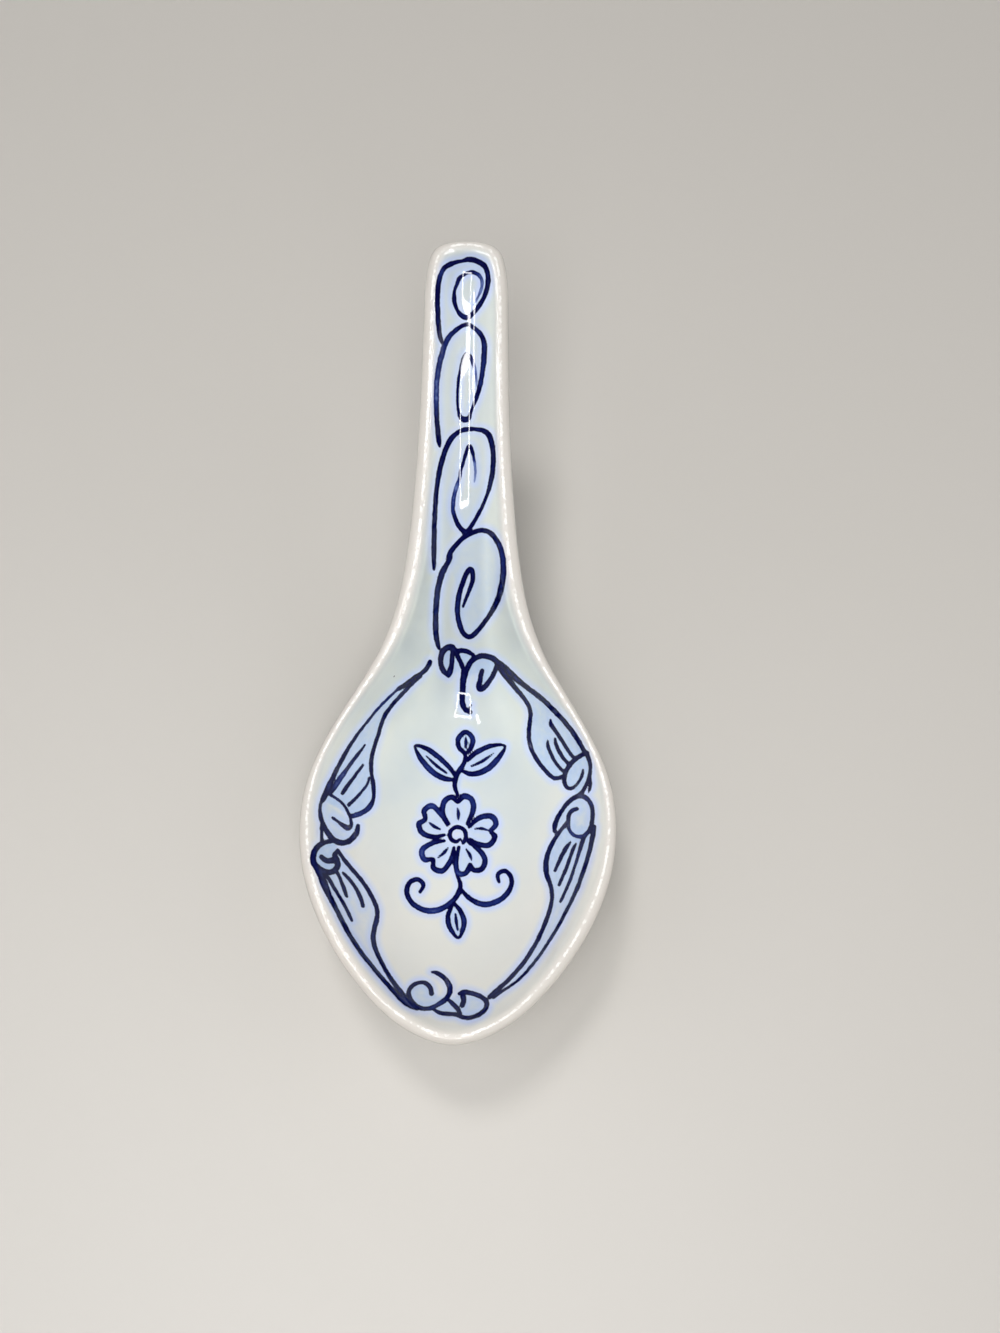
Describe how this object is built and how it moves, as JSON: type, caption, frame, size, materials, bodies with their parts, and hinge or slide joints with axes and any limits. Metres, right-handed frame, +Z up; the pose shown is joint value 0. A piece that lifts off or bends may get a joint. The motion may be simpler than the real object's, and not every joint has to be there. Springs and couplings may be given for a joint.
{
  "type": "soup spoon",
  "caption": "Porcelain soup spoon: a deep pointed flat-bottomed bowl runs up into a channelled handle, and stands on a low oval foot ring.",
  "frame": {"origin": "centre of the spoon's outline in plan, on the table that its foot ring stands on", "axes": "+Z up from the table, +Y along the spoon from the bowl's tip towards the handle's end, +X across the bowl"},
  "size_m": [0.047, 0.114, 0.0487],
  "materials": {
    "glazed_porcelain": "clear gloss glaze over white porcelain with cobalt blue brushwork",
    "bare_porcelain": "matt unglazed porcelain, lightly stained"
  },
  "bodies": {
    "root": {"bowl": "glazed_porcelain", "handle": "glazed_porcelain", "foot_ring": "bare_porcelain"}
  },
  "joints": []
}
